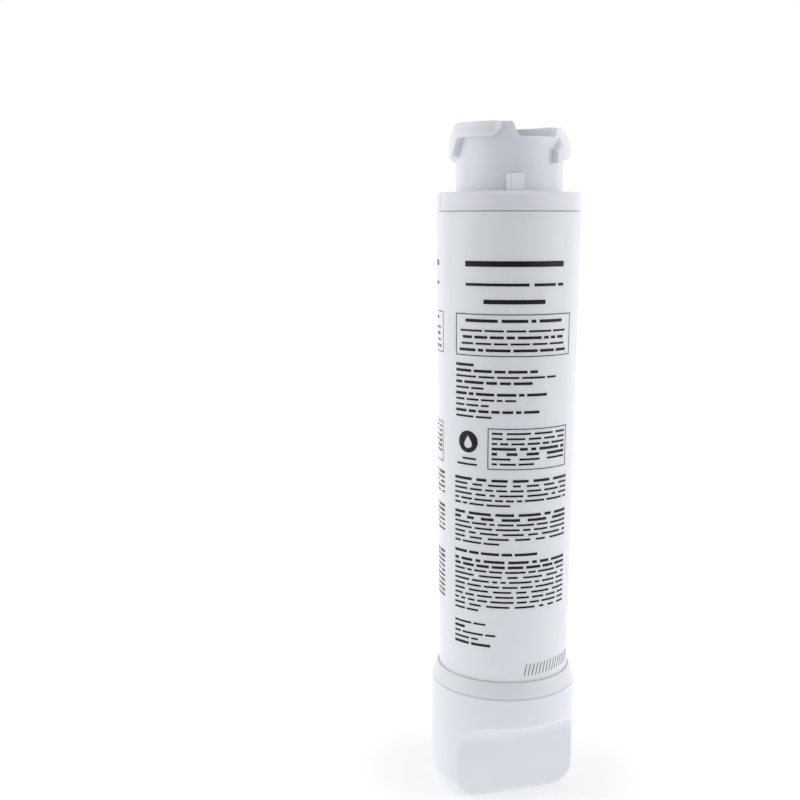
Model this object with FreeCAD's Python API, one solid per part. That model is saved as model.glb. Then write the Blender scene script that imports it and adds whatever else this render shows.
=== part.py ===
# Push-and-twist water filter cartridge, standing on its grip, in millimetres.
# Origin: centre of the grip's underside.  +Z runs up the axis to the ported neck.
# The two flats of the grip face -Y and +Y.  Azimuths are measured from -Y towards +X.

import FreeCAD
import Part
import math
import os

Vector = FreeCAD.Vector
UP = Vector(0, 0, 1)
AXIS_FOOT = Vector(0, 0, 0)

# Grip
grip_height = 52.3
grip_swell = 2.9
grip_wall = 2.5
grip_floor = 3.0
grip_toe_radius = 8.0
lip_height = 6.3
lip_top_thickness = 0.7
lip_setback = 0.1
crease_width = 0.9
crease_depth = 0.75
flat_distance = 16.0
flat_top_height = 21.4
flat_land = 3.2
flat_edge_radius = 1.8
drive_rib_thickness = 2.0

# Canister
canister_radius = 29.0
canister_draft = 0.0098
canister_wall = 2.6
canister_floor = 3.0
canister_exposed_length = 189.1
canister_heel_radius = 6.0
canister_insertion = 13.4
snap_bead_height = 0.5
snap_bead_inset = 6.0
drive_tongue_width = 8.0
drive_tongue_length = 24.0
drive_tongue_depth = 7.0

# Head
seam_chamfer = 0.25
seam_gap = 0.4
seam_depth = 0.9
skirt_height = 7.7
shoulder_radius = 1.4
weld_spigot_depth = 8.0
weld_spigot_wall = 2.4
weld_spigot_lead = 0.5
head_plate = 3.0
neck_radius = 21.5
neck_wall = 2.4
neck_root_radius = 0.8
neck_low_height = 21.0
neck_rim_step = 5.6
neck_rim_fall = 2.2
skirt_groove_width = 0.8
skirt_groove_depth = 0.7

# Bayonet lugs and key, set out from the key's azimuth
key_azimuth = -13.5
key_width = 7.0
key_offset = -1.1
key_flank_width = 0.9
key_land_width = 1.0
key_slant = 1.9
key_reach = 2.9
key_height = 6.8
key_edge_radius = 0.5
lug_reach = 2.9
lug_band_height = 5.6
lug_leg_drop = 7.0
lug_tail_drop = 3.1
lug_tail_height = 5.6
lug_slope_rise = 5.0
lug_edge_bevel = 0.5
lug_lead_share = 0.4
lug_lead_span = 6.0
lug_tip_span = 10.0
lug_lead_azimuth = -17.0
lug_leg_start_azimuth = -63.0
lug_leg_end_azimuth = -81.0
lug_crest_start_azimuth = -57.0
lug_crest_end_azimuth = -104.0
lug_slope_end_azimuth = -124.0
lug_tail_azimuth = -138.0
rim_slope_foot_azimuth = 2.0
rim_slope_top_azimuth = -8.0
rim_step_top_azimuth = -129.0
rim_step_foot_azimuth = -133.0
rim_fall_azimuth = -60.0
skirt_groove_azimuth = -79.0

# Port stem
outlet_bore_radius = 3.0
outlet_tube_wall = 2.0
outlet_tube_height = 19.0
inlet_bore_radius = 8.8
inlet_tube_wall = 2.5
inlet_tube_height = 10.5
stem_rib_thickness = 1.4
stem_rib_height = 5.0
socket_radius = 5.5
socket_wall = 1.8
socket_depth = 12.0

# Seal rings
outlet_ring_section = 1.6
outlet_ring_inset = 3.2
inlet_ring_section = 1.9
inlet_ring_inset = 3.4
spigot_ring_section = 1.6
spigot_ring_inset = 3.0
ring_stand_out = 0.55
ring_groove_margin = 0.15

# Filter element
flow_gap = 1.5
block_bore_radius = 6.0
wrap_thickness = 0.8
cap_plate = 2.5
cap_skirt_height = 6.0
cap_skirt_wall = 1.5
cap_boss_height = 5.0
cap_foot_height = 4.0
cap_foot_width = 3.0
cap_foot_length = 12.0
cap_spigot_length = 10.0
cap_spigot_bore_radius = 2.6

# Clearances
grip_clearance = 0.15
bead_clearance = 0.1
tongue_clearance = 0.2
weld_clearance = 0.12
spigot_clearance = 0.15
element_clearance = 0.1

# Levels along the axis
lip_foot_z = grip_height - lip_height
canister_foot_z = grip_height - canister_insertion
canister_floor_z = canister_foot_z + canister_floor
seam_z = grip_height + canister_exposed_length
shoulder_z = seam_z + skirt_height
plate_z = shoulder_z - head_plate
low_rim_z = shoulder_z + neck_low_height
high_rim_z = low_rim_z + neck_rim_step
socket_foot_z = plate_z - socket_depth
block_foot_z = canister_floor_z + cap_foot_height + cap_plate
block_top_z = socket_foot_z - cap_plate
bead_z = grip_height - snap_bead_inset
outlet_top_z = shoulder_z + outlet_tube_height
inlet_top_z = shoulder_z + inlet_tube_height
outlet_ring_z = outlet_top_z - outlet_ring_inset
inlet_ring_z = inlet_top_z - inlet_ring_inset
spigot_top_z = socket_foot_z + cap_spigot_length
spigot_ring_z = spigot_top_z - spigot_ring_inset


def canister_outer(z):
    """Outer radius of the drafted canister at height z."""
    return canister_radius - canister_draft * (seam_z - z)


# Radii worked out from the sizes above
grip_radius = canister_outer(grip_height) + grip_clearance + grip_swell
flat_hollow_radius = grip_radius - flat_land - flat_distance
canister_foot_inner = canister_outer(canister_floor_z) - canister_wall
cap_outer_radius = canister_foot_inner - flow_gap
cap_inner_radius = cap_outer_radius - cap_skirt_wall
wrap_radius = cap_inner_radius - element_clearance
block_radius = wrap_radius - wrap_thickness
outlet_tube_radius = outlet_bore_radius + outlet_tube_wall
inlet_tube_radius = inlet_bore_radius + inlet_tube_wall

# Extra length of a cutter beyond the material it removes
overshoot = 1.0


def polar(radius, azimuth, z):
    angle = math.radians(azimuth)
    return Vector(radius * math.sin(angle), -radius * math.cos(angle), z)


def revolved(points):
    """Full turn about the axis of a closed outline given as (radius, z)."""
    corners = [Vector(r, 0, z) for r, z in points]
    face = Part.Face(Part.makePolygon(corners + [corners[0]]))
    return face.revolve(AXIS_FOOT, UP, 360)


def tube(inner, outer, low, high):
    return revolved([(inner, low), (outer, low), (outer, high), (inner, high)])


def disc(radius, low, high):
    return Part.makeCylinder(radius, high - low, Vector(0, 0, low))


def ring(major, section, z):
    return Part.makeTorus(major, section / 2, Vector(0, 0, z))


def box(size_x, size_y, low, high):
    """Upright block centred on the axis."""
    return Part.makeBox(size_x, size_y, high - low, Vector(-size_x / 2, -size_y / 2, low))


def turned(shape, azimuth):
    copy = shape.copy()
    copy.rotate(AXIS_FOOT, UP, azimuth)
    return copy


def circle_edges(shape, radius, z):
    """Edges of a turned solid that are circles of this radius at this height."""
    found = []
    for edge in shape.Edges:
        is_circle = isinstance(edge.Curve, Part.Circle)
        if is_circle and abs(edge.Curve.Radius - radius) < 1e-4 and abs(edge.BoundBox.ZMin - z) < 1e-4:
            found.append(edge)
    return found


def smooth_step(low, high, value):
    """Runs smoothly from 0 at low to 1 at high."""
    share = min(max((value - low) / (high - low), 0.0), 1.0)
    return share * share * (3 - 2 * share)


def swept_block(azimuths, corners_at):
    """Solid that runs round the axis, the corners (radius, z) of its section given at each azimuth."""
    sections = [[polar(r, a, z) for r, z in corners_at(a)] for a in azimuths]
    count = len(sections[0])
    rails = []
    for corner in range(count):
        curve = Part.BSplineCurve()
        points = [section[corner] for section in sections]
        curve.interpolate(Points=points, Parameters=[float(i) for i in range(len(points))])
        rails.append(curve.toShape())
    faces = []
    for corner in range(count):
        faces.append(Part.makeRuledSurface(rails[corner], rails[(corner + 1) % count]))
    for end in (sections[0], sections[-1]):
        faces.append(Part.Face(Part.makePolygon(end + [end[0]])))
    shell = Part.makeShell(faces)
    shell.sewShape()
    solid = Part.Solid(shell)
    if solid.Volume < 0:
        solid.reverse()
    return solid


def azimuth_range(first, last, count):
    return [first + (last - first) * i / (count - 1) for i in range(count)]


# Grip: a round cup with two flats, hollow, open at the top for the canister


def flats_removed(distance, hollow_radius, hollow_centre_y, reach):
    """The two side blocks outside the flats, each roofed by a hollow that sweeps out to the cup."""
    rim_z = flat_top_height + hollow_radius
    mid = math.radians(45)
    mid_y = hollow_centre_y - hollow_radius * math.cos(mid)
    mid_z = flat_top_height + hollow_radius * math.sin(mid)
    start = Vector(-reach, distance, -overshoot)
    hollow_foot = Vector(-reach, distance, flat_top_height)
    hollow_mid = Vector(-reach, mid_y, mid_z)
    hollow_top = Vector(-reach, hollow_centre_y, rim_z)
    roof_end = Vector(-reach, reach, rim_z)
    floor_end = Vector(-reach, reach, -overshoot)
    outline = [Part.makeLine(start, hollow_foot)]
    outline.append(Part.Arc(hollow_foot, hollow_mid, hollow_top).toShape())
    outline.append(Part.makeLine(hollow_top, roof_end))
    outline.append(Part.makeLine(roof_end, floor_end))
    outline.append(Part.makeLine(floor_end, start))
    side = Part.Face(Part.Wire(outline)).extrude(Vector(2 * reach, 0, 0))
    return side.fuse(turned(side, 180))


def make_grip():
    bore_top = canister_outer(grip_height) + grip_clearance
    bore_foot = canister_outer(canister_foot_z) + grip_clearance
    lip_radius = bore_top + lip_top_thickness
    crease_radius = grip_radius - crease_depth
    well_radius = grip_radius - grip_wall
    hollow_centre = flat_distance + flat_hollow_radius
    reach = grip_radius + overshoot

    outer = revolved([(0, 0), (grip_radius, 0), (grip_radius, lip_foot_z - crease_width / 2),
                      (crease_radius, lip_foot_z), (grip_radius - lip_setback, lip_foot_z + crease_width / 2),
                      (lip_radius, grip_height), (0, grip_height)])
    outer = outer.makeFillet(grip_toe_radius, circle_edges(outer, grip_radius, 0))
    outer = outer.cut(flats_removed(flat_distance, flat_hollow_radius, hollow_centre, reach))
    rim_z = flat_top_height + flat_hollow_radius
    soft_edges = []
    for edge in outer.Edges:
        middle = edge.valueAt((edge.FirstParameter + edge.LastParameter) / 2)
        on_flat_side = abs(middle.y) > flat_distance - 0.01 and edge.BoundBox.ZMax < rim_z + 0.01
        straight_across = edge.BoundBox.YLength < 0.01 and abs(edge.BoundBox.ZMin - flat_top_height) < 0.01
        hollow_end = abs(middle.y) > hollow_centre - 0.01 and edge.BoundBox.YLength < 0.01
        if on_flat_side and not straight_across and not hollow_end:
            soft_edges.append(edge)
    outer = outer.makeFillet(flat_edge_radius, soft_edges)

    inner = revolved([(0, grip_floor), (well_radius, grip_floor), (well_radius, canister_foot_z - grip_wall),
                      (bore_foot, canister_foot_z - overshoot), (bore_top, grip_height),
                      (bore_top, grip_height + overshoot), (0, grip_height + overshoot)])
    inner = inner.makeFillet(grip_toe_radius - grip_wall, circle_edges(inner, well_radius, grip_floor))
    inner_flat = flat_distance - grip_wall
    inner = inner.cut(flats_removed(inner_flat, flat_hollow_radius + grip_wall, hollow_centre, reach))
    bead_half = snap_bead_height + bead_clearance
    groove = ring(bore_top - grip_clearance, 2 * bead_half, bead_z)
    rib_x = drive_tongue_width / 2 + tongue_clearance + drive_rib_thickness / 2
    ribs = []
    for x in (-rib_x, rib_x):
        rib = box(drive_rib_thickness, 2 * reach, 0, canister_foot_z)
        rib.translate(Vector(x, 0, 0))
        ribs.append(rib.common(outer))
    return outer.cut(inner).cut(groove).fuse(ribs).removeSplitter()


# Canister: a drafted tube with a closed foot, a snap bead and a drive tongue


def make_canister():
    foot_radius = canister_outer(canister_foot_z)
    rim_inner = canister_radius - canister_wall
    tongue_foot_z = canister_foot_z - drive_tongue_depth
    outer = revolved([(0, canister_foot_z), (foot_radius, canister_foot_z),
                      (canister_outer(seam_z - seam_chamfer), seam_z - seam_chamfer),
                      (canister_radius - seam_chamfer, seam_z), (0, seam_z)])
    outer = outer.makeFillet(canister_heel_radius, circle_edges(outer, foot_radius, canister_foot_z))
    inner = revolved([(0, canister_floor_z), (canister_foot_inner, canister_floor_z), (rim_inner, seam_z),
                      (rim_inner, seam_z + overshoot), (0, seam_z + overshoot)])
    inner_heel = canister_heel_radius - canister_wall
    inner = inner.makeFillet(inner_heel, circle_edges(inner, canister_foot_inner, canister_floor_z))
    bead = ring(canister_outer(bead_z), 2 * snap_bead_height, bead_z)
    tongue = box(drive_tongue_width, drive_tongue_length, tongue_foot_z, canister_floor_z)
    upright = [e for e in tongue.Edges if e.BoundBox.ZLength > drive_tongue_depth]
    tongue = tongue.makeFillet(drive_tongue_width / 4, upright)
    return outer.fuse([bead, tongue]).cut(inner).removeSplitter()


# Head: welded lid with the ported neck, its stepped rim, two bayonet lugs and the key


def lug_section(azimuth):
    """Corners of a bayonet lug: a level band at the rounded lead, a steep leg down, a slow run to the tail.
    Behind the leg the top of the band slants up to the neck, and the slant ends before the tail."""
    tip = smooth_step(lug_lead_azimuth - lug_tip_span, lug_lead_azimuth, azimuth)
    swell = smooth_step(lug_lead_azimuth, lug_lead_azimuth - lug_lead_span, azimuth)
    leg = smooth_step(lug_leg_start_azimuth, lug_leg_end_azimuth, azimuth)
    crest = smooth_step(lug_crest_start_azimuth, lug_crest_end_azimuth, azimuth)
    slow = max((azimuth - lug_leg_end_azimuth) / (lug_tail_azimuth - lug_leg_end_azimuth), 0.0)
    slant = crest * smooth_step(lug_tail_azimuth, lug_slope_end_azimuth, azimuth)
    band_low = high_rim_z - lug_band_height
    tail_top = band_low - lug_leg_drop - lug_tail_drop + lug_tail_height
    blank_top = high_rim_z + 2 * overshoot
    low = band_low + tip * lug_band_height / 2 - leg * lug_leg_drop - slow * slow * lug_tail_drop
    face_top = blank_top - crest * (blank_top - tail_top)
    root_top = face_top + slant * lug_slope_rise * (1 + neck_wall / 2 / lug_reach)
    root = neck_radius - neck_wall / 2
    face = neck_radius + lug_reach * (lug_lead_share + (1 - lug_lead_share) * swell)
    lower_edge = [(face - lug_edge_bevel, low), (face, low + lug_edge_bevel)]
    return [(root, low)] + lower_edge + [(face, face_top), (root, root_top)]


def rim_cut_section(azimuth):
    """Corners of the block taken off the rim: a slope at one end, a steep step and slow rise at the other."""
    slope = smooth_step(rim_slope_foot_azimuth, rim_slope_top_azimuth, azimuth)
    step = smooth_step(rim_step_foot_azimuth + 180, rim_step_top_azimuth + 180, azimuth)
    rise = max((azimuth - 180 - rim_step_top_azimuth) / (rim_fall_azimuth - rim_step_top_azimuth), 0.0)
    low = low_rim_z + slope * (neck_rim_step + overshoot / 2) + step * (neck_rim_step - neck_rim_fall)
    low = low + rise * (neck_rim_fall + overshoot / 5)
    inner = neck_radius - neck_wall - overshoot
    outer = neck_radius + lug_reach + overshoot
    top = high_rim_z + 8 * overshoot
    return [(inner, low), (outer, low), (outer, top), (inner, top)]


def make_key():
    """Upright key on the shoulder: a sloped flank, a narrow land and a face that slants back from it."""
    left = key_offset - key_width / 2
    right = key_offset + key_width / 2
    land = left + key_flank_width
    root_y = -neck_radius + neck_wall / 2
    land_y = -neck_radius - key_reach
    plan = [(left, root_y), (land, land_y), (land + key_land_width, land_y)]
    plan = plan + [(right, land_y + key_slant), (right, root_y)]
    corners = [Vector(x, y, shoulder_z - overshoot) for x, y in plan]
    body = Part.Face(Part.makePolygon(corners + [corners[0]])).extrude(Vector(0, 0, key_height + overshoot))
    top_edges = [e for e in body.Edges if e.BoundBox.ZMin > shoulder_z and e.CenterOfMass.y < root_y - 0.1]
    return turned(body.makeFillet(key_edge_radius, top_edges), key_azimuth)


def make_head():
    spigot_outer = canister_outer(seam_z - weld_spigot_depth) - canister_wall - weld_clearance
    spigot_inner = spigot_outer - weld_spigot_wall
    neck_inner = neck_radius - neck_wall
    spigot_foot_z = seam_z - weld_spigot_depth
    skirt_foot_z = seam_z + seam_gap
    socket_outer = socket_radius + socket_wall

    lid = revolved([(0, plate_z), (spigot_inner, plate_z), (spigot_inner, spigot_foot_z),
                    (spigot_outer - weld_spigot_lead, spigot_foot_z),
                    (spigot_outer, spigot_foot_z + 2 * weld_spigot_lead),
                    (spigot_outer, seam_z), (canister_radius - seam_depth, seam_z),
                    (canister_radius - seam_depth, skirt_foot_z),
                    (canister_radius - seam_chamfer, skirt_foot_z),
                    (canister_radius, skirt_foot_z + seam_chamfer), (canister_radius, shoulder_z),
                    (neck_radius, shoulder_z), (neck_radius, high_rim_z + overshoot),
                    (neck_inner, high_rim_z + overshoot), (neck_inner, shoulder_z), (0, shoulder_z)])
    lid = lid.makeFillet(shoulder_radius, circle_edges(lid, canister_radius, shoulder_z))
    lid = lid.makeFillet(neck_root_radius, circle_edges(lid, neck_radius, shoulder_z))
    groove = box(skirt_groove_width, 2 * skirt_groove_depth, seam_z - overshoot, shoulder_z + overshoot)
    groove.translate(Vector(0, -canister_radius, 0))
    for half_turn in (0, 180):
        lid = lid.cut(turned(groove, key_azimuth + skirt_groove_azimuth + half_turn))

    lug = swept_block(azimuth_range(lug_lead_azimuth, lug_tail_azimuth, 50), lug_section)
    rim_cut = swept_block(azimuth_range(rim_slope_top_azimuth, rim_fall_azimuth + 180, 70), rim_cut_section)
    for half_turn in (0, 180):
        lid = lid.fuse(turned(lug, key_azimuth + half_turn))
    lid = lid.cut(box(4 * neck_radius, 4 * neck_radius, high_rim_z, high_rim_z + 10 * overshoot))
    for half_turn in (0, 180):
        lid = lid.cut(turned(rim_cut, key_azimuth + half_turn))
    lid = lid.fuse(make_key())

    passage = tube(socket_outer, inlet_bore_radius, plate_z - overshoot, shoulder_z + overshoot)
    inlet_tube = tube(inlet_bore_radius, inlet_tube_radius, plate_z, inlet_top_z)
    outlet_tube = disc(outlet_tube_radius, plate_z, outlet_top_z)
    socket = disc(socket_outer, socket_foot_z, shoulder_z)
    rib_length = 2 * inlet_bore_radius + inlet_tube_wall
    ribs = box(stem_rib_thickness, rib_length, plate_z, shoulder_z + stem_rib_height)
    ribs = ribs.fuse(turned(ribs, 90))
    lid = lid.cut(passage).fuse([inlet_tube, outlet_tube, socket, ribs])
    lid = lid.cut(disc(outlet_bore_radius, plate_z - overshoot, outlet_top_z + overshoot))
    lid = lid.cut(disc(socket_radius, socket_foot_z - overshoot, plate_z))
    lid = lid.cut(ring_groove(outlet_tube_radius, outlet_ring_section, outlet_ring_z))
    return lid.cut(ring_groove(inlet_tube_radius, inlet_ring_section, inlet_ring_z))


# Seal rings


def ring_floor(tube_radius, section):
    """Groove floor that leaves a ring of this section standing out of the tube."""
    return tube_radius + ring_stand_out - section


def ring_groove(tube_radius, section, z):
    half = section / 2 + ring_groove_margin
    return tube(ring_floor(tube_radius, section), tube_radius + overshoot, z - half, z + half)


def stem_ring(tube_radius, section, z):
    return ring(ring_floor(tube_radius, section) + section / 2, section, z)


def make_spigot_ring():
    return ring(socket_radius - spigot_ring_section / 2, spigot_ring_section, spigot_ring_z)


# Filter element: carbon block, wrap and two end caps


def cap_body(plate_low, plate_high, skirt_low, skirt_high, boss_low, boss_high):
    body = disc(cap_outer_radius, plate_low, plate_high)
    skirt = tube(cap_inner_radius, cap_outer_radius, skirt_low, skirt_high)
    boss = disc(block_bore_radius - element_clearance, boss_low, boss_high)
    return body.fuse([skirt, boss])


def make_lower_cap():
    plate_low = canister_floor_z + cap_foot_height
    cap = cap_body(plate_low, block_foot_z, plate_low, block_foot_z + cap_skirt_height,
                   plate_low, block_foot_z + cap_boss_height)
    feet = []
    for quarter in range(4):
        foot = Part.makeBox(cap_foot_width, cap_foot_length, cap_foot_height + overshoot)
        foot.translate(Vector(-cap_foot_width / 2, block_radius - cap_foot_length, canister_floor_z))
        feet.append(turned(foot, 45 + 90 * quarter))
    return cap.fuse(feet).removeSplitter()


def make_upper_cap():
    spigot_radius = socket_radius - spigot_clearance
    groove_floor = socket_radius - spigot_ring_section
    half = spigot_ring_section / 2 + ring_groove_margin
    cap = cap_body(block_top_z, socket_foot_z, block_top_z - cap_skirt_height, socket_foot_z,
                   block_top_z - cap_boss_height, socket_foot_z)
    cap = cap.fuse(disc(spigot_radius, block_top_z, spigot_top_z))
    bore_foot_z = block_top_z - cap_boss_height - overshoot
    cap = cap.cut(disc(cap_spigot_bore_radius, bore_foot_z, spigot_top_z + overshoot))
    cap = cap.cut(tube(groove_floor, socket_radius, spigot_ring_z - half, spigot_ring_z + half))
    return cap.removeSplitter()


def make_block():
    return tube(block_bore_radius, block_radius, block_foot_z, block_top_z)


def make_wrap():
    return tube(block_radius, wrap_radius, block_foot_z, block_top_z)


def save(name, shape):
    """Writes a piece, which has to be one sound solid."""
    if len(shape.Solids) != 1 or not shape.isValid():
        raise ValueError(name + " is not one sound solid")
    shape.Solids[0].exportStep(os.path.join("parts", name + ".step"))


os.makedirs("parts", exist_ok=True)
save("grip", make_grip())
save("canister", make_canister())
save("head", make_head())
save("outlet_o_ring", stem_ring(outlet_tube_radius, outlet_ring_section, outlet_ring_z))
save("inlet_o_ring", stem_ring(inlet_tube_radius, inlet_ring_section, inlet_ring_z))
save("spigot_o_ring", make_spigot_ring())
save("upper_end_cap", make_upper_cap())
save("lower_end_cap", make_lower_cap())
save("carbon_block", make_block())
save("prefilter_wrap", make_wrap())
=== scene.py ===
import math

import bpy
import numpy as np
from bpy.props import FloatProperty, FloatVectorProperty, IntProperty, PointerProperty
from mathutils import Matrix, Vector


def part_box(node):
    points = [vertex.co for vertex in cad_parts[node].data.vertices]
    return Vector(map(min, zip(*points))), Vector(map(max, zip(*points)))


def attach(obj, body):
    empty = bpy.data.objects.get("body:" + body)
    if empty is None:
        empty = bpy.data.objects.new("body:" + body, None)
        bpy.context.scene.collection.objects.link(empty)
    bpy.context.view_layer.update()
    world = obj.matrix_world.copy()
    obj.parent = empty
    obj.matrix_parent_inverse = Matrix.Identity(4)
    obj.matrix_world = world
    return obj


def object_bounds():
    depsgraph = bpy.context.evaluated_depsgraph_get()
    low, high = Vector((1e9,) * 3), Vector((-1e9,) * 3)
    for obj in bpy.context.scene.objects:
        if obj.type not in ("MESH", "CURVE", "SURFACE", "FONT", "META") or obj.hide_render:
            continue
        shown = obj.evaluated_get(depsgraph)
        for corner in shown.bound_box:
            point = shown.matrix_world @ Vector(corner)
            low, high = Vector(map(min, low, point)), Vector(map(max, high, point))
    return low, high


bl_info = {
    "name": "Water Filter Cartridge",
    "version": (1, 0, 0),
    "blender": (4, 5, 0),
    "location": "3D View > Sidebar > Cartridge",
    "description": "Finishes, print and studio for a push-and-twist water filter cartridge",
    "category": "Object",
}

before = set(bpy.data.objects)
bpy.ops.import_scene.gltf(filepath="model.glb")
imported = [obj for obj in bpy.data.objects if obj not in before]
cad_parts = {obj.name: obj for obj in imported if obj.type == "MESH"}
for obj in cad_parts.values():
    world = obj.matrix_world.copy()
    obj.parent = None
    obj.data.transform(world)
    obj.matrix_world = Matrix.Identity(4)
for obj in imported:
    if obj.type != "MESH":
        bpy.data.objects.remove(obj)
cad_low, cad_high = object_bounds()

MILLIMETRE = 0.001

# Print layout of one column, in millimetres: distances along the wall from the column's centre
# line, positive to the right, and heights above the floor.

# Heading bars: middle height, thickness, then the left and right end of each bar in the row
HEADINGS = (
    (221.4, 2.2, ((-20.6, 20.1),)),
    (213.4, 1.1, ((-20.4, 4.7), (6.7, 16.0), (17.2, 20.2))),
    (206.8, 1.7, ((-12.7, 11.4),)),
    (199.4, 1.2, ((-20.4, -7.1), (-5.6, 4.5), (5.8, 7.7), (9.1, 19.8))),
)

# Blocks of fine bars: middle height of the first row, row spacing, rows, left end, right end, right
# end of the last row, rows in thick bars, setting
BAR_BLOCKS = (
    (195.5, 2.53, 4, -24.0, 23.0, 23.0, (1, 3), "centred"),
    (181.9, 2.28, 10, -25.1, 23.0, -3.5, (0, 1, 3, 5, 8), "ragged"),
    (144.3, 2.3, 2, -25.0, -12.2, -14.5, (), "centred"),
    (155.1, 2.04, 7, -8.9, 23.4, 13.5, (3, 4), "full"),
    (136.1, 2.02, 6, -25.7, 25.9, -1.0, (0,), "full"),
    (122.2, 2.0, 7, -25.7, 25.9, 2.9, (0, 1), "full"),
    (106.0, 2.0, 1, -25.7, 15.4, 15.4, (0,), "full"),
    (102.8, 2.08, 11, -25.7, 25.9, -5.7, (0, 1), "full"),
    (76.3, 2.2, 5, -25.7, 5.0, -6.4, (1, 4), "ragged"),
)

# Frames: left, right, foot, top
FRAMES = ((-25.1, 25.1, 185.7, 201.9), (-10.4, 24.7, 140.8, 157.0))

# Disc: distance along the wall and height of its middle
DISC_PLACE = (-19.1, 151.1)

# Strokes near the foot: first left end, spacing, number, foot height, rise of the row per millimetre,
# stroke width, stroke height, slant
STROKES = (5.5, 1.75, 16, 54.8, 0.03, 0.3, 5.0, 0.22)

# Fine bars: shortest and longest length in units, bars drawn for a row before it is cut to its width,
# and the shares of the width between which a ragged row ends
SHORTEST_BAR, LONGEST_BAR = 2, 9
BARS_DRAWN = 60
RAGGED_SHARES = (0.3, 1.0)

# Points along a bar, a stroke or a side of a frame, so that it follows the curve of the wall
HEADING_STATIONS = 36
BAR_STATIONS = 8
STROKE_STATIONS = 2
FRAME_STATIONS = 48

# Disc: points round it, steps from the bare drop to its edge, and the power of the sine of half the
# turn that draws the drop's tip to a point
LOOP_POINTS = 72
DISC_STEPS = 6
DROP_TAPER = 1.5

# Range in which most values of a pattern lie
PATTERN_LOW, PATTERN_HIGH = 0.3, 0.7

# Moulded plastic: index of refraction, unevenness of its tint and of its roughness, and the stretch of
# its drag lines
PLASTIC_IOR = 1.5
TINT_SPREAD = 0.005
GLOSS_SPREAD = 0.02
DRAG_STRETCH = (1, 1, 0.012)

# Nonwoven sheet: stretch of the fibres along the axis and round it
FIBRES_ALONG = (1, 1, 0.12)
FIBRES_ROUND = (0.15, 0.15, 1)

# Ink: strength of its mirror reflection
INK_SPECULAR = 0.2

# Floor: cells along a side, and the share of a fade's radius at which it begins
FLOOR_CELLS = 8
FADE_START = 0.2

# Camera: sensor width in millimetres, and distance in metres from which it sees
SENSOR_WIDTH = 36
NEAR_CLIP = 0.01


class CartridgePlastics(bpy.types.PropertyGroup):
    """Colours and gloss of the moulded shell."""

    canister_colour: FloatVectorProperty(
        name="Canister colour", description="White of the canister's wall",
        subtype="COLOR", min=0, max=1, default=(0.78, 0.807, 0.858))
    head_colour: FloatVectorProperty(
        name="Head colour", description="White of the welded head",
        subtype="COLOR", min=0, max=1, default=(0.77, 0.788, 0.843))
    grip_colour: FloatVectorProperty(
        name="Grip colour", description="White of the twist grip",
        subtype="COLOR", min=0, max=1, default=(0.757, 0.783, 0.833))
    milkiness: FloatProperty(
        name="Milkiness", description="Share of the light that spreads inside the plastic",
        subtype="FACTOR", min=0, max=1, default=0.35)
    milk_depth: FloatProperty(
        name="Milk depth", description="How far light spreads inside the plastic", unit="LENGTH", min=0,
        default=0.003)
    shell_roughness: FloatProperty(
        name="Shell roughness", description="Mean roughness of the canister and the head",
        subtype="FACTOR", min=0, max=1, default=0.32)
    grip_roughness: FloatProperty(
        name="Grip roughness", description="Mean roughness of the grip",
        subtype="FACTOR", min=0, max=1, default=0.38)
    shell_grain_depth: FloatProperty(
        name="Shell grain depth", description="Depth of the mould's grain on the canister and the head",
        unit="LENGTH", min=0, default=0.000005)
    shell_grain_scale: FloatProperty(
        name="Shell grain scale", description="Grains per metre on the canister and the head",
        min=0, default=2200)
    grip_grain_depth: FloatProperty(
        name="Grip grain depth", description="Depth of the mould's grain on the grip",
        unit="LENGTH", min=0, default=0.00001)
    grip_grain_scale: FloatProperty(
        name="Grip grain scale", description="Grains per metre on the grip", min=0, default=1800)


class CartridgeElement(bpy.types.PropertyGroup):
    """Colours of the seals and of the filter element inside."""

    rubber_colour: FloatVectorProperty(
        name="Rubber colour", description="Black of the seal rings",
        subtype="COLOR", min=0, max=1, default=(0.018, 0.018, 0.02))
    cap_colour: FloatVectorProperty(
        name="Cap colour", description="Natural polypropylene of the end caps",
        subtype="COLOR", min=0, max=1, default=(0.72, 0.71, 0.66))
    carbon_colour: FloatVectorProperty(
        name="Carbon colour", description="Grains of the pressed carbon block",
        subtype="COLOR", min=0, max=1, default=(0.022, 0.022, 0.024))
    wrap_colour: FloatVectorProperty(
        name="Wrap colour", description="Fibres of the nonwoven wrap",
        subtype="COLOR", min=0, max=1, default=(0.70, 0.70, 0.68))


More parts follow.
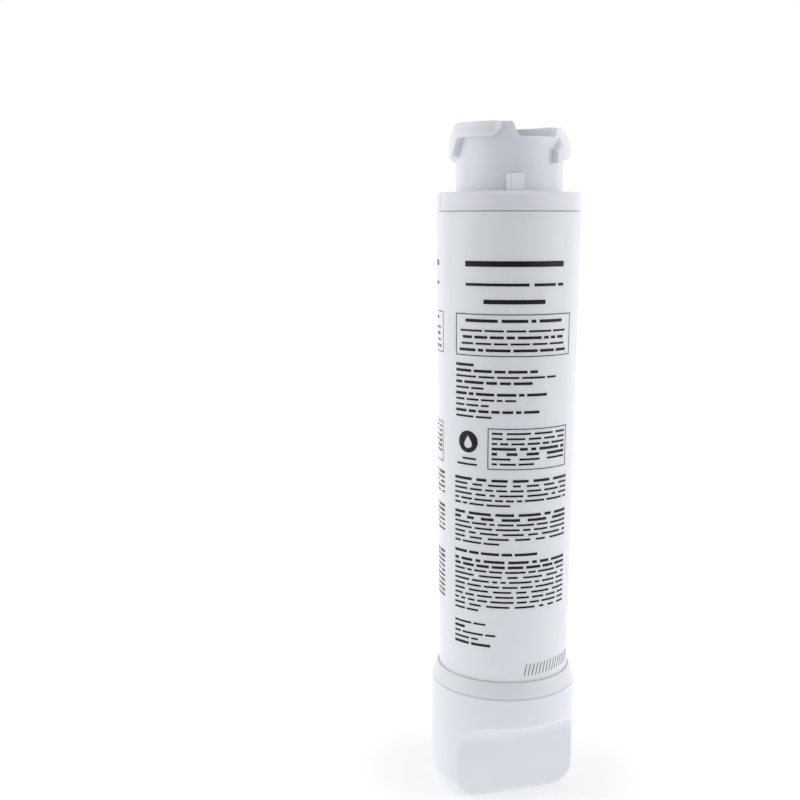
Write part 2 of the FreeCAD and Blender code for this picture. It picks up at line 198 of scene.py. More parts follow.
class CartridgePrint(bpy.types.PropertyGroup):
    """Ink and place of the print on the canister."""

    ink_colour: FloatVectorProperty(
        name="Ink colour", description="Near-black of the printed marks",
        subtype="COLOR", min=0, max=1, default=(0.004, 0.0045, 0.008))
    ink_film: FloatProperty(
        name="Ink film", description="How far the ink stands proud of the wall",
        unit="LENGTH", min=0, default=0.00003)
    ink_seat: FloatProperty(
        name="Ink seat", description="How far a mark reaches under the wall's surface",
        unit="LENGTH", min=0, default=0.00007)
    first_column: FloatProperty(
        name="First column", description="Azimuth of the first column's centre line",
        subtype="ANGLE", default=math.radians(-15.2))
    columns: IntProperty(
        name="Columns", description="Columns of print round the canister", min=1, max=2, default=2)
    column_spacing: FloatProperty(
        name="Column spacing", description="Turn to the left from one column to the next",
        subtype="ANGLE", default=math.radians(122.5))
    wall_radius: FloatProperty(
        name="Wall radius", description="Outer radius of the canister at its top",
        unit="LENGTH", default=0.029)
    wall_draft: FloatProperty(
        name="Wall draft", description="Loss of radius per unit of height below the top",
        default=0.0098)
    bar_unit: FloatProperty(
        name="Bar unit", description="Step of the fine bars' lengths, and the gap between two bars",
        unit="LENGTH", default=0.00106)
    bar_thickness: FloatProperty(
        name="Bar thickness", description="Height of a fine bar", unit="LENGTH", default=0.00078)
    thick_bar_thickness: FloatProperty(
        name="Thick bar thickness", description="Height of a bar in the thick rows",
        unit="LENGTH", default=0.00108)
    rule_width: FloatProperty(
        name="Rule width", description="Width of the frames' lines", unit="LENGTH", default=0.00034)
    disc_radius: FloatProperty(
        name="Disc radius", description="Radius of the printed disc", unit="LENGTH", default=0.0044)
    drop_height: FloatProperty(
        name="Drop height", description="Height of the bare drop in the disc", unit="LENGTH",
        default=0.0052)
    seed: IntProperty(
        name="Seed", description="Start of the random bar lengths", default=7)


class CartridgeStudio(bpy.types.PropertyGroup):
    """Camera, lamps, tent and floor."""

    camera_azimuth: FloatProperty(
        name="Camera azimuth", description="Where the camera stands, from the front towards the right",
        subtype="ANGLE", default=math.radians(-22.5))
    camera_distance: FloatProperty(
        name="Camera distance", description="Level distance of the camera from the axis",
        unit="LENGTH", default=0.47842)
    camera_height: FloatProperty(
        name="Camera height", description="Height of the camera above the floor",
        unit="LENGTH", default=0.2359)
    camera_tilt: FloatProperty(
        name="Camera tilt", description="How far the camera looks down", subtype="ANGLE",
        default=math.radians(8.53))
    camera_pan: FloatProperty(
        name="Camera pan", description="How far the camera is turned right of the axis",
        subtype="ANGLE", default=math.radians(-5.28))
    lens: FloatProperty(
        name="Lens", description="Focal length on a 36 mm sensor, in millimetres", default=52.24)
    side_power: FloatProperty(
        name="Side panels", description="Power of each panel lamp beside the cartridge, in watts",
        min=0, default=1.5)
    side_azimuth: FloatProperty(
        name="Side azimuth", description="Turn of the side panels to either side of the camera",
        subtype="ANGLE", default=math.radians(80))
    rear_power: FloatProperty(
        name="Rear panels", description="Power of each panel lamp behind the cartridge, in watts",
        min=0, default=0.8)
    rear_azimuth: FloatProperty(
        name="Rear azimuth", description="Turn of the rear panels to either side of the camera",
        subtype="ANGLE", default=math.radians(130))
    panel_distance: FloatProperty(
        name="Panel distance", description="Distance of the panels from the axis", unit="LENGTH",
        default=0.9)
    panel_width: FloatProperty(
        name="Panel width", description="Width of a panel", unit="LENGTH", default=0.65)
    panel_height: FloatProperty(
        name="Panel height", description="Height of a panel", unit="LENGTH", default=0.9)
    panel_middle: FloatProperty(
        name="Panel middle", description="Height of a panel's middle", unit="LENGTH", default=0.35)
    tent: FloatProperty(
        name="Tent", description="Strength of the even light from all round", min=0, default=0.93)
    gap_inner: FloatProperty(
        name="Gap, inner", description="Half angle of the tent's dark gap round the camera",
        subtype="ANGLE", default=math.radians(22))
    gap_outer: FloatProperty(
        name="Gap, outer", description="Half angle at which the gap has faded out", subtype="ANGLE",
        default=math.radians(48))
    gap_rise: FloatProperty(
        name="Gap rise", description="How far the gap's middle lies above the horizon", subtype="ANGLE",
        default=math.radians(10))
    rear_dim: FloatProperty(
        name="Rear dim", description="Strength of the tent's light from behind, as a share of the rest",
        subtype="FACTOR", min=0, max=1, default=0.4)
    rear_inner: FloatProperty(
        name="Rear dim, inner", description="Half angle of the dimmed part behind the cartridge",
        subtype="ANGLE", default=math.radians(25))
    rear_outer: FloatProperty(
        name="Rear dim, outer", description="Half angle at which the dimming has faded out",
        subtype="ANGLE", default=math.radians(60))
    floor_size: FloatProperty(
        name="Floor size", description="Side of the floor", unit="LENGTH", default=6.0)
    floor_colour: FloatVectorProperty(
        name="Floor colour", description="Pale floor", subtype="COLOR", min=0, max=1,
        default=(0.92, 0.92, 0.92))
    floor_glow: FloatProperty(
        name="Floor glow", description="Light that the floor gives off before the object's foot", min=0,
        default=0.37)
    glow_offset: FloatProperty(
        name="Glow offset", description="How far the glow's middle lies towards the camera",
        unit="LENGTH", default=0.06)
    glow_radius: FloatProperty(
        name="Glow radius", description="Where the glow has faded out", unit="LENGTH", default=0.22)
    glow_hidden: FloatProperty(
        name="Glow hidden", subtype="FACTOR", min=0, max=1, default=0.6,
        description="Share of the glow that the camera doesn't see, so that the shadow shows")
    floor_lift: FloatProperty(
        name="Floor lift", description="Light added to the far floor as seen, to make it white", min=0,
        default=0.36)
    lift_radius: FloatProperty(
        name="Lift radius", description="Where the lift is in full", unit="LENGTH", default=0.14)


# Materials


def add_node(tree, kind, values=None):
    """New node with values set on its named inputs."""
    node = tree.nodes.new(kind)
    for socket, value in (values or {}).items():
        node.inputs[socket].default_value = value
    return node


def start_material(name):
    """New node material and its shader."""
    material = bpy.data.materials.new(name)
    material.use_nodes = True
    return material, material.node_tree.nodes["Principled BSDF"]


def placed(tree, stretch=(1, 1, 1)):
    """Object coordinates in metres, scaled per axis."""
    place = tree.nodes.new("ShaderNodeTexCoord")
    mapping = add_node(tree, "ShaderNodeMapping", {"Scale": stretch})
    tree.links.new(place.outputs["Object"], mapping.inputs["Vector"])
    return mapping.outputs["Vector"]


def noise(tree, scale, detail=2.0, stretch=(1, 1, 1)):
    """Soft noise with so many cells per metre."""
    texture = add_node(tree, "ShaderNodeTexNoise", {"Scale": scale, "Detail": detail})
    tree.links.new(placed(tree, stretch), texture.inputs["Vector"])
    return texture.outputs["Fac"]


def grains(tree, scale):
    """Distance to the nearest of so many scattered points per metre."""
    texture = add_node(tree, "ShaderNodeTexVoronoi", {"Scale": scale})
    tree.links.new(placed(tree), texture.inputs["Vector"])
    return texture.outputs["Distance"]


def shade(tree, source, low, high):
    """Carries a 0-1 pattern over from one colour to another."""
    ramp = tree.nodes.new("ShaderNodeValToRGB")
    ramp.color_ramp.elements[0].position = PATTERN_LOW
    ramp.color_ramp.elements[1].position = PATTERN_HIGH
    ramp.color_ramp.elements[0].color = (*low, 1)
    ramp.color_ramp.elements[1].color = (*high, 1)
    tree.links.new(source, ramp.inputs["Fac"])
    return ramp.outputs["Color"]


def spread(tree, source, low, high):
    """Carries a 0-1 pattern over to a range of numbers."""
    span = add_node(tree, "ShaderNodeMapRange", {"From Min": PATTERN_LOW, "From Max": PATTERN_HIGH,
                                                 "To Min": low, "To Max": high})
    tree.links.new(source, span.inputs["Value"])
    return span.outputs["Result"]


def relief(tree, source, depth, under=None):
    """Bump of this depth in metres, on top of another bump if there is one."""
    bump = add_node(tree, "ShaderNodeBump", {"Distance": depth})
    tree.links.new(source, bump.inputs["Height"])
    if under is not None:
        tree.links.new(under, bump.inputs["Normal"])
    return bump.outputs["Normal"]


def scaled(colour, factor):
    """Colour with every channel times a factor."""
    return tuple(channel * factor for channel in colour)


def moulded_plastic(name, look, colour, roughness, grain_depth, grain_scale):
    """White moulded plastic: milky, with a cloudy tint, patchy gloss, fine grain and faint drag lines
    along the axis."""
    material, shader = start_material(name)
    tree = material.node_tree
    tint = shade(tree, noise(tree, scale=45, detail=3),
                 scaled(colour, 1 - TINT_SPREAD), scaled(colour, 1 + TINT_SPREAD))
    gloss = spread(tree, noise(tree, scale=160, detail=4),
                   roughness - GLOSS_SPREAD, roughness + GLOSS_SPREAD)
    grain = relief(tree, noise(tree, grain_scale), grain_depth)
    lines = relief(tree, noise(tree, scale=700, stretch=DRAG_STRETCH), grain_depth, grain)
    tree.links.new(tint, shader.inputs["Base Color"])
    tree.links.new(gloss, shader.inputs["Roughness"])
    tree.links.new(lines, shader.inputs["Normal"])
    shader.inputs["IOR"].default_value = PLASTIC_IOR
    shader.inputs["Subsurface Weight"].default_value = look.milkiness
    shader.inputs["Subsurface Radius"].default_value = (1, 1, 1)
    shader.inputs["Subsurface Scale"].default_value = look.milk_depth
    return material


def seal_rubber(name, colour):
    """Black rubber with a dusty bloom and a fine pebbled skin."""
    material, shader = start_material(name)
    tree = material.node_tree
    bloom = shade(tree, noise(tree, scale=400, detail=4), low=colour, high=scaled(colour, 2.2))
    gloss = spread(tree, noise(tree, scale=900, detail=3), low=0.42, high=0.6)
    skin = relief(tree, noise(tree, scale=5000), depth=0.00001)
    tree.links.new(bloom, shader.inputs["Base Color"])
    tree.links.new(gloss, shader.inputs["Roughness"])
    tree.links.new(skin, shader.inputs["Normal"])
    return material


def natural_plastic(name, colour):
    """Unpigmented plastic: milky, slightly uneven, with a soft skin."""
    material, shader = start_material(name)
    tree = material.node_tree
    milk = shade(tree, noise(tree, scale=90, detail=4),
                 low=scaled(colour, 0.94), high=scaled(colour, 1.04))
    gloss = spread(tree, noise(tree, scale=300, detail=3), low=0.38, high=0.5)
    skin = relief(tree, noise(tree, scale=2600), depth=0.00001)
    tree.links.new(milk, shader.inputs["Base Color"])
    tree.links.new(gloss, shader.inputs["Roughness"])
    tree.links.new(skin, shader.inputs["Normal"])
    return material


def pressed_carbon(name, colour):
    """Pressed grains with painted shade: each grain lighter in its middle and darker towards the gaps
    between grains; a few with a glint.
    """
    material, shader = start_material(name)
    tree = material.node_tree
    grain = grains(tree, scale=1700)
    # Painted shade: lighter in the middle of each grain, darker towards the gaps between grains
    painted_grain_shade = shade(tree, grain, low=scaled(colour, 2.4), high=scaled(colour, 0.5))
    glint = spread(tree, noise(tree, scale=1500), low=0.5, high=0.85)
    tree.links.new(painted_grain_shade, shader.inputs["Base Color"])
    tree.links.new(glint, shader.inputs["Roughness"])
    tree.links.new(relief(tree, grain, depth=0.0003), shader.inputs["Normal"])
    return material


def nonwoven_wrap(name, colour):
    """Nonwoven sheet: two layers of crossing fibres over a cloudy web."""
    material, shader = start_material(name)
    tree = material.node_tree
    along = noise(tree, scale=900, detail=4, stretch=FIBRES_ALONG)
    across = noise(tree, scale=900, detail=4, stretch=FIBRES_ROUND)
    web = relief(tree, along, depth=0.00012)
    web = relief(tree, across, depth=0.00012, under=web)
    clouds = shade(tree, along, low=scaled(colour, 0.86), high=scaled(colour, 1.06))
    tree.links.new(clouds, shader.inputs["Base Color"])
    tree.links.new(spread(tree, across, low=0.7, high=0.92), shader.inputs["Roughness"])
    tree.links.new(web, shader.inputs["Normal"])
    return material


def printed_ink(name, colour):
    """Screen ink: dense, a little uneven, with a low sheen."""
    material, shader = start_material(name)
    tree = material.node_tree
    density = shade(tree, noise(tree, scale=1200, detail=3), low=colour, high=scaled(colour, 2.0))
    sheen = spread(tree, noise(tree, scale=700), low=0.22, high=0.3)
    skin = relief(tree, noise(tree, scale=4000), depth=0.000004)
    tree.links.new(density, shader.inputs["Base Color"])
    tree.links.new(sheen, shader.inputs["Roughness"])
    tree.links.new(skin, shader.inputs["Normal"])
    shader.inputs["Specular IOR Level"].default_value = INK_SPECULAR
    return material


def dress(nodes, material):
    """Gives these construction nodes a finish through their material slots."""
    for node in nodes:
        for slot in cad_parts[node].material_slots:
            slot.material = material


# Print


def on_wall(layout, azimuth, along, height, lift):
    """Points of the drafted wall: the angle is the column's azimuth plus the distance along the wall
    over the mean radius, and the radius falls evenly below the wall's top and rises with the lift."""
    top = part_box("canister")[1].z
    mean_radius = layout.wall_radius - layout.wall_draft * (top / 2 - cad_low[2])
    height = height * MILLIMETRE
    radius = layout.wall_radius - layout.wall_draft * (top - height) + lift
    angle = azimuth + along * MILLIMETRE / mean_radius
    return np.stack([radius * np.sin(angle), -radius * np.cos(angle), height + 0 * angle], axis=-1)


def section_faces(strips, stations, corners, closed):
    """Quads between neighbouring stations of a section carried along a path, for so many separate
    strips whose points are numbered station by station; open strips get an end quad at each end."""
    steps = stations if closed else stations - 1
    strip = np.arange(strips)[:, None, None] * stations * corners
    here = np.arange(steps)[None, :, None]
    there = (here + 1) % stations
    corner = np.arange(corners)[None, None, :]
    onward = (corner + 1) % corners
    quads = np.stack([strip + here * corners + corner, strip + there * corners + corner,
                      strip + there * corners + onward, strip + here * corners + onward], axis=-1)
    quads = quads.reshape(-1, 4)
    if closed:
        return quads
    first = np.arange(strips)[:, None] * stations * corners + np.arange(corners)[None, :]
    last = first + (stations - 1) * corners
    return np.concatenate([quads, first, last[:, ::-1]])


def slabs(layout, azimuth, left, right, foot, top, stations, slant=0.0):
    """Flat marks on the wall: a section of four corners, under and over the surface at the foot and at
    the top, is carried along the wall from left to right; a slant shifts the top along the wall."""
    share = np.linspace(0, 1, stations)[None, :, None]
    left, right, foot, top = (np.asarray(v, float)[:, None, None] for v in (left, right, foot, top))
    is_top = np.array([0, 0, 1, 1])[None, None, :]
    is_proud = np.array([0, 1, 1, 0])[None, None, :]
    height = foot + (top - foot) * is_top + 0 * share
    along = left + (right - left) * share + slant * (top - foot) * is_top
    lift = layout.ink_film * is_proud - layout.ink_seat * (1 - is_proud) + 0 * along
    points = on_wall(layout, azimuth, along, height, lift).reshape(-1, 3)
    return points, section_faces(left.shape[0], stations, 4, False)


def band(layout, azimuth, inner, outer, steps=1):
    """Closed band between two loops of equal count on the wall: a section that runs under the surface
    from the inner loop to the outer one in even steps, and back over it, is carried once round."""
    share = np.linspace(0, 1, steps + 1)
    share = np.concatenate([share, share[::-1]])[None, :, None]
    place = inner[:, None, :] + (outer - inner)[:, None, :] * share
    lift = np.repeat([-layout.ink_seat, layout.ink_film], steps + 1)[None, :] + 0 * place[..., 0]
    points = on_wall(layout, azimuth, place[..., 0], place[..., 1], lift).reshape(-1, 3)
    return points, section_faces(1, len(inner), 2 * steps + 2, True)


def framed_loop(left, right, foot, top, stations):
    """Rectangle as a loop: the foot from left to right and the top from right to left in even steps."""
    share = np.linspace(0, 1, stations)
    along = np.concatenate([left + (right - left) * share, right + (left - right) * share])
    height = np.concatenate([np.full(stations, foot), np.full(stations, top)])
    return np.stack([along, height], axis=1)


def around_turn(count):
    """Even steps of a whole turn."""
    return np.linspace(0, 2 * np.pi, count, endpoint=False)


def circle_loop(place, radius, count):
    """Circle of so many points about a place on the wall, from its top."""
    turn = around_turn(count)
    return np.stack([place[0] + radius * np.sin(turn), place[1] + radius * np.cos(turn)], axis=1)


def drop_loop(place, height, count):
    """Drop of so many points about a place on the wall, from its tip: the cosine of the turn upwards,
    and across the sine of the turn times a power of the sine of half the turn."""
    turn = around_turn(count)
    across = np.sin(turn) * np.abs(np.sin(turn / 2)) ** DROP_TAPER
    return np.stack([place[0] + height / 2 * across, place[1] + height / 2 * np.cos(turn)], axis=1)


def row_of_bars(rng, left, right, unit, stretch):
    """Left and right ends of a row's bars: random whole numbers of units long and a unit apart, as
    many as fit, the gaps stretched until the last bar ends at the right where asked."""
    lengths = rng.integers(SHORTEST_BAR, LONGEST_BAR + 1, BARS_DRAWN)
    ends = np.cumsum(lengths + 1) * unit
    count = max(1, int(np.searchsorted(ends, right - left + unit)))
    lengths, ends = lengths[:count], ends[:count]
    starts = left + ends - (lengths + 1) * unit
    slack = right - left + unit - ends[-1]
    if stretch and count > 1:
        starts = starts + slack * np.arange(count) / (count - 1)
    return starts, starts + lengths * unit, slack


def fine_bars(layout, rng):
    """Left, right, foot and top of every bar in a column's blocks."""
    unit = layout.bar_unit / MILLIMETRE
    marks = []
    for middle, spacing, rows, left, right, last, thick_rows, setting in BAR_BLOCKS:
        for row in range(rows):
            is_last = row == rows - 1
            end = last if is_last else right
            if setting == "ragged" and not is_last:
                end = left + (right - left) * rng.uniform(*RAGGED_SHARES)
            starts, ends, slack = row_of_bars(rng, left, end, unit, setting == "full" and not is_last)
            shift = slack / 2 if setting == "centred" else 0.0
            thickness = layout.thick_bar_thickness if row in thick_rows else layout.bar_thickness
            half = np.full(len(starts), thickness / MILLIMETRE / 2)
            height = middle - row * spacing
            marks.append(np.stack([starts + shift, ends + shift, height - half, height + half]))
    return np.concatenate(marks, axis=1)


def joined(groups):
    """One set of points and quads from several, each group's quads numbered on from the last."""
    points, quads = zip(*groups)
    starts = np.cumsum([0] + [len(group) for group in points[:-1]])
    numbered = [group + start for group, start in zip(quads, starts)]
    return np.concatenate(points), np.concatenate(numbered)


def make_print(name, groups, material):
    """Print piece from groups of points and quads, on the body that the canister belongs to."""
    points, quads = joined(groups)
    mesh = bpy.data.meshes.new(name)
    mesh.from_pydata(points.tolist(), [], quads.tolist())
    mesh.validate()
    mesh.materials.append(material)
    piece = bpy.data.objects.new(name, mesh)
    bpy.context.scene.collection.objects.link(piece)
    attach(piece, "root")


def column_azimuths(layout):
    """Azimuths of the columns' centre lines, the first one first."""
    return layout.first_column - layout.column_spacing * np.arange(layout.columns)


def ink(layout):
    """The one ink of all the print."""
    return bpy.data.materials.get("print_ink") or printed_ink("print_ink", tuple(layout.ink_colour))


class CARTRIDGE_OT_shell(bpy.types.Operator):
    """Finish the canister, the head and the grip in white moulded plastic"""

    bl_idname = "cartridge.shell"
    bl_label = "Finish shell"

    def execute(self, context):
        look = context.scene.cartridge_plastics
        shell = (look.shell_roughness, look.shell_grain_depth, look.shell_grain_scale)
        grip = (look.grip_roughness, look.grip_grain_depth, look.grip_grain_scale)
        for node, colour, surface in (("canister", look.canister_colour, shell),
                                      ("head", look.head_colour, shell),
                                      ("grip", look.grip_colour, grip)):
            dress([node], moulded_plastic(node + "_white", look, tuple(colour), *surface))
        return {"FINISHED"}


class CARTRIDGE_OT_seals(bpy.types.Operator):
    """Finish the three seal rings in black rubber"""

    bl_idname = "cartridge.seals"
    bl_label = "Finish seal rings"

    def execute(self, context):
        look = context.scene.cartridge_element
        dress(["outlet_o_ring", "inlet_o_ring", "spigot_o_ring"],
              seal_rubber("ring_rubber", tuple(look.rubber_colour)))
        return {"FINISHED"}


class CARTRIDGE_OT_element(bpy.types.Operator):
    """Finish the filter element: end caps, carbon block and wrap"""

    bl_idname = "cartridge.element"
    bl_label = "Finish filter element"

    def execute(self, context):
        look = context.scene.cartridge_element
        dress(["upper_end_cap", "lower_end_cap"],
              natural_plastic("cap_natural", tuple(look.cap_colour)))
        dress(["carbon_block"], pressed_carbon("block_carbon", tuple(look.carbon_colour)))
        dress(["prefilter_wrap"], nonwoven_wrap("wrap_fibres", tuple(look.wrap_colour)))
        return {"FINISHED"}


class CARTRIDGE_OT_print_headings(bpy.types.Operator):
    """Print the headings as rows of heavy bars"""

    bl_idname = "cartridge.print_headings"
    bl_label = "Print heading bars"

    def execute(self, context):
        layout = context.scene.cartridge_print
        groups = []
        for azimuth in column_azimuths(layout):
            for middle, thickness, ends in HEADINGS:
                left, right = np.array(ends).T
                low = np.full(len(ends), middle - thickness / 2)
                groups.append(slabs(layout, azimuth, left, right, low, low + thickness,
                                    HEADING_STATIONS))
        make_print("print_headings", groups, ink(layout))
        return {"FINISHED"}


class CARTRIDGE_OT_print_blocks(bpy.types.Operator):
    """Print the blocks of fine bars"""

    bl_idname = "cartridge.print_blocks"
    bl_label = "Print fine bars"

    def execute(self, context):
        layout = context.scene.cartridge_print
        groups = []
        for number, azimuth in enumerate(column_azimuths(layout)):
            rng = np.random.default_rng(layout.seed + number)
            groups.append(slabs(layout, azimuth, *fine_bars(layout, rng), BAR_STATIONS))
        make_print("print_blocks", groups, ink(layout))
        return {"FINISHED"}


class CARTRIDGE_OT_print_frames(bpy.types.Operator):
    """Print the frames as closed lines"""

    bl_idname = "cartridge.print_frames"
    bl_label = "Print frames"

    def execute(self, context):
        layout = context.scene.cartridge_print
        half = layout.rule_width / MILLIMETRE / 2
        groups = []
        for azimuth in column_azimuths(layout):
            for left, right, foot, top in FRAMES:
                inner = framed_loop(left + half, right - half, foot + half, top - half, FRAME_STATIONS)
                outer = framed_loop(left - half, right + half, foot - half, top + half, FRAME_STATIONS)
                groups.append(band(layout, azimuth, inner, outer))
        make_print("print_frames", groups, ink(layout))
        return {"FINISHED"}


class CARTRIDGE_OT_print_discs(bpy.types.Operator):
    """Print a disc with a bare drop in its middle in each column"""

    bl_idname = "cartridge.print_discs"
    bl_label = "Print discs"

    def execute(self, context):
        layout = context.scene.cartridge_print
        drop = drop_loop(DISC_PLACE, layout.drop_height / MILLIMETRE, LOOP_POINTS)
        edge = circle_loop(DISC_PLACE, layout.disc_radius / MILLIMETRE, LOOP_POINTS)
        groups = [band(layout, azimuth, drop, edge, DISC_STEPS) for azimuth in column_azimuths(layout)]
        make_print("print_discs", groups, ink(layout))
        return {"FINISHED"}


class CARTRIDGE_OT_print_strokes(bpy.types.Operator):
    """Print the row of slanted strokes near the foot of the first column"""

    bl_idname = "cartridge.print_strokes"
    bl_label = "Print strokes"

    def execute(self, context):
        layout = context.scene.cartridge_print
        first, spacing, number, foot, rise, width, height, slant = STROKES
        left = first + spacing * np.arange(number)
        low = foot + rise * (left - first)
        strokes = slabs(layout, layout.first_column, left, left + width, low, low + height,
                        STROKE_STATIONS, slant)
        make_print("print_strokes", [strokes], ink(layout))
        return {"FINISHED"}


# Studio


def around(distance, azimuth, height):
    """Point so far from the axis on this azimuth, from the front towards the right."""
    return Vector((distance * math.sin(azimuth), -distance * math.cos(azimuth), height))


def combine(tree, operation, first, second):
    """Math node on two sockets, or on a socket and a number."""
    node = tree.nodes.new("ShaderNodeMath")
    node.operation = operation
    tree.links.new(first, node.inputs[0])
    if isinstance(second, float):
        node.inputs[1].default_value = second
    else:
        tree.links.new(second, node.inputs[1])
    return node.outputs["Value"]


def fade(tree, source, start, end, low, high):
    """Runs smoothly from low to high while the source runs from start to end."""
    ramp = add_node(tree, "ShaderNodeMapRange",
                    {"From Min": start, "From Max": end, "To Min": low, "To Max": high})
    ramp.interpolation_type = "SMOOTHSTEP"
    tree.links.new(source, ramp.inputs["Value"])
    return ramp.outputs["Result"]


def distance_from(tree, point):
    """Distance of the shaded place from a point, in object coordinates."""
    place = tree.nodes.new("ShaderNodeTexCoord")
    distance = tree.nodes.new("ShaderNodeVectorMath")
    distance.operation = "DISTANCE"
    distance.inputs[1].default_value = point
    tree.links.new(place.outputs["Object"], distance.inputs[0])
    return distance.outputs["Value"]


def facing(tree, direction):
    """Cosine between a direction and the one in which the world is looked at."""
    place = tree.nodes.new("ShaderNodeTexCoord")
    product = tree.nodes.new("ShaderNodeVectorMath")
    product.operation = "DOT_PRODUCT"
    product.inputs[1].default_value = direction
    tree.links.new(place.outputs["Generated"], product.inputs[0])
    return product.outputs["Value"]


def any_view_ray(tree, path):
    """1 where a surface is seen by the camera, in a reflection or through glass, else 0."""
    seen = combine(tree, "MAXIMUM", path.outputs["Is Camera Ray"], path.outputs["Is Glossy Ray"])
    return combine(tree, "MAXIMUM", seen, path.outputs["Is Transmission Ray"])


def floor_finish(studio):
    """Matte white that glows softly before the object's foot and is lifted to white further out."""
    material = bpy.data.materials.new("floor_white")
    material.use_nodes = True
    tree = material.node_tree
    tree.nodes.clear()
    from_glow = distance_from(tree, around(studio.glow_offset, studio.camera_azimuth, 0.0))
    glow = fade(tree, from_glow, FADE_START * studio.glow_radius, studio.glow_radius,
                studio.floor_glow, 0.0)
    from_axis = distance_from(tree, (0, 0, 0))
    lift = fade(tree, from_axis, FADE_START * studio.lift_radius, studio.lift_radius,
                0.0, studio.floor_lift)
    path = tree.nodes.new("ShaderNodeLightPath")
    hidden = combine(tree, "MULTIPLY", path.outputs["Is Camera Ray"], studio.glow_hidden)
    shown_glow = combine(tree, "SUBTRACT", glow, combine(tree, "MULTIPLY", hidden, glow))
    shown_lift = combine(tree, "MULTIPLY", lift, any_view_ray(tree, path))
    light = tree.nodes.new("ShaderNodeEmission")
    tree.links.new(combine(tree, "ADD", shown_glow, shown_lift), light.inputs["Strength"])
    matte = add_node(tree, "ShaderNodeBsdfDiffuse", {"Color": (*studio.floor_colour, 1)})
    both = tree.nodes.new("ShaderNodeAddShader")
    tree.links.new(matte.outputs["BSDF"], both.inputs[0])
    tree.links.new(light.outputs["Emission"], both.inputs[1])
    output = tree.nodes.new("ShaderNodeOutputMaterial")
    tree.links.new(both.outputs["Shader"], output.inputs["Surface"])
    return material


def make_floor(studio):
    """Square floor as a grid of two parameters at height 0."""
    half = studio.floor_size / 2
    side = np.linspace(-half, half, FLOOR_CELLS + 1)
    x, y = np.meshgrid(side, side, indexing="ij")
    points = np.stack([x, y, 0 * x], axis=-1).reshape(-1, 3)
    number = np.arange(len(points)).reshape(x.shape)
    corners = [number[:-1, :-1], number[1:, :-1], number[1:, 1:], number[:-1, 1:]]
    quads = np.stack(corners, axis=-1).reshape(-1, 4)
    mesh = bpy.data.meshes.new("floor")
    mesh.from_pydata(points.tolist(), [], quads.tolist())
    mesh.materials.append(floor_finish(studio))
    floor = bpy.data.objects.new("floor", mesh)
    bpy.context.scene.collection.objects.link(floor)


def make_tent(studio):
    """World as a white tent with a dark gap round the camera, dimmed behind the object so that its
    back keeps its shading; the camera sees it as white."""
    world = bpy.data.worlds.new("tent")
    bpy.context.scene.world = world
    world.use_nodes = True
    tree = world.node_tree
    tree.nodes.clear()
    rise = studio.gap_rise
    before = facing(tree, around(math.cos(rise), studio.camera_azimuth, math.sin(rise)))
    cloth = fade(tree, before, math.cos(studio.gap_outer), math.cos(studio.gap_inner), 1.0, 0.0)
    behind = facing(tree, around(-1, studio.camera_azimuth, 0.0))
    dimmed = fade(tree, behind, math.cos(studio.rear_outer), math.cos(studio.rear_inner),
                  studio.tent, studio.tent * studio.rear_dim)
    path = tree.nodes.new("ShaderNodeLightPath")
    lit = add_node(tree, "ShaderNodeBackground", {"Color": (1, 1, 1, 1)})
    tree.links.new(combine(tree, "MULTIPLY", cloth, dimmed), lit.inputs["Strength"])
    white = add_node(tree, "ShaderNodeBackground", {"Color": (1, 1, 1, 1)})
    seen = combine(tree, "MAXIMUM", cloth, path.outputs["Is Camera Ray"])
    tree.links.new(seen, white.inputs["Strength"])
    mix = tree.nodes.new("ShaderNodeMixShader")
    tree.links.new(any_view_ray(tree, path), mix.inputs["Fac"])
    tree.links.new(lit.outputs["Background"], mix.inputs[1])
    tree.links.new(white.outputs["Background"], mix.inputs[2])
    output = tree.nodes.new("ShaderNodeOutputWorld")
    tree.links.new(mix.outputs["Shader"], output.inputs["Surface"])


def make_panel(studio, name, turn, power):
    """Tall soft lamp so far round from the camera, facing the object's middle."""
    lamp = bpy.data.lights.new(name, "AREA")
    lamp.shape = "RECTANGLE"
    lamp.size = studio.panel_width
    lamp.size_y = studio.panel_height
    lamp.energy = power
    place = around(studio.panel_distance, studio.camera_azimuth + turn, studio.panel_middle)
    middle = Vector((0, 0, (cad_low[2] + cad_high[2]) / 2))
    panel = bpy.data.objects.new(name, lamp)
    panel.location = place
    panel.rotation_euler = (middle - place).to_track_quat("-Z", "Y").to_euler()
    panel.visible_camera = False
    bpy.context.scene.collection.objects.link(panel)


def make_camera(studio):
    """Camera on its circle about the axis, panned and tilted from the line to the axis."""
    lens = bpy.data.cameras.new("camera")
    lens.lens = studio.lens
    lens.sensor_width = SENSOR_WIDTH
    lens.sensor_fit = "HORIZONTAL"
    lens.clip_start = NEAR_CLIP
    camera = bpy.data.objects.new("camera", lens)
    camera.location = around(studio.camera_distance, studio.camera_azimuth, studio.camera_height)
    turn = studio.camera_pan - studio.camera_azimuth
    level = math.cos(studio.camera_tilt)
    forward = Vector((math.sin(turn) * level, math.cos(turn) * level, -math.sin(studio.camera_tilt)))
    camera.rotation_euler = forward.to_track_quat("-Z", "Y").to_euler()
    bpy.context.scene.collection.objects.link(camera)
    bpy.context.scene.camera = camera


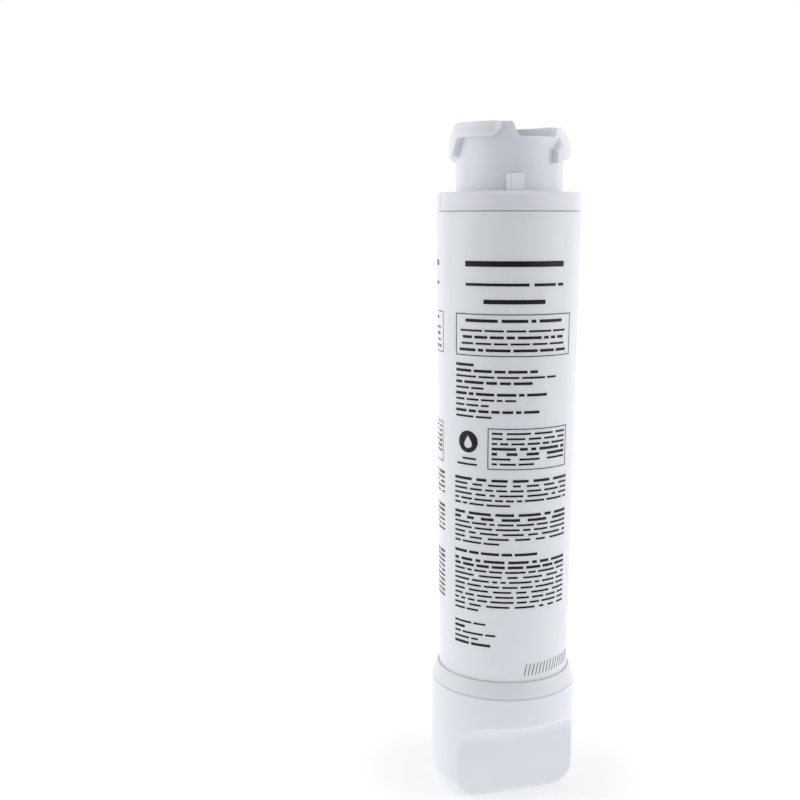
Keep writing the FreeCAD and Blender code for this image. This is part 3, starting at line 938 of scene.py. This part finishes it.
class CARTRIDGE_OT_studio(bpy.types.Operator):
    """Set the floor, the tent, the panel lamps and the camera"""

    bl_idname = "cartridge.studio"
    bl_label = "Set studio"

    def execute(self, context):
        studio = context.scene.cartridge_studio
        make_floor(studio)
        make_tent(studio)
        make_panel(studio, "left_side_panel", -studio.side_azimuth, studio.side_power)
        make_panel(studio, "right_side_panel", studio.side_azimuth, studio.side_power)
        make_panel(studio, "left_rear_panel", -studio.rear_azimuth, studio.rear_power)
        make_panel(studio, "right_rear_panel", studio.rear_azimuth, studio.rear_power)
        make_camera(studio)
        context.scene.view_settings.view_transform = "Standard"
        return {"FINISHED"}


OPERATORS = (
    CARTRIDGE_OT_shell,
    CARTRIDGE_OT_seals,
    CARTRIDGE_OT_element,
    CARTRIDGE_OT_print_headings,
    CARTRIDGE_OT_print_blocks,
    CARTRIDGE_OT_print_frames,
    CARTRIDGE_OT_print_discs,
    CARTRIDGE_OT_print_strokes,
    CARTRIDGE_OT_studio,
)

SETTINGS = {
    "cartridge_plastics": CartridgePlastics,
    "cartridge_element": CartridgeElement,
    "cartridge_print": CartridgePrint,
    "cartridge_studio": CartridgeStudio,
}


class CARTRIDGE_PT_sidebar(bpy.types.Panel):
    """Lists the steps and their settings"""

    bl_idname = "CARTRIDGE_PT_sidebar"
    bl_label = "Water filter cartridge"
    bl_space_type = "VIEW_3D"
    bl_region_type = "UI"
    bl_category = "Cartridge"

    def draw(self, context):
        for operator in OPERATORS:
            self.layout.operator(operator.bl_idname)
        for setting in SETTINGS:
            group = getattr(context.scene, setting)
            box = self.layout.box()
            for value in group.__annotations__:
                box.prop(group, value)


def register():
    for setting, group in SETTINGS.items():
        bpy.utils.register_class(group)
        setattr(bpy.types.Scene, setting, PointerProperty(type=group))
    for cls in (*OPERATORS, CARTRIDGE_PT_sidebar):
        bpy.utils.register_class(cls)


def unregister():
    for cls in reversed((*OPERATORS, CARTRIDGE_PT_sidebar)):
        bpy.utils.unregister_class(cls)
    for setting, group in SETTINGS.items():
        delattr(bpy.types.Scene, setting)
        bpy.utils.unregister_class(group)


def main():
    register()
    bpy.ops.cartridge.shell()
    bpy.ops.cartridge.seals()
    bpy.ops.cartridge.element()
    bpy.ops.cartridge.print_headings()
    bpy.ops.cartridge.print_blocks()
    bpy.ops.cartridge.print_frames()
    bpy.ops.cartridge.print_discs()
    bpy.ops.cartridge.print_strokes()
    bpy.ops.cartridge.studio()


if __name__ == "__main__":
    main()
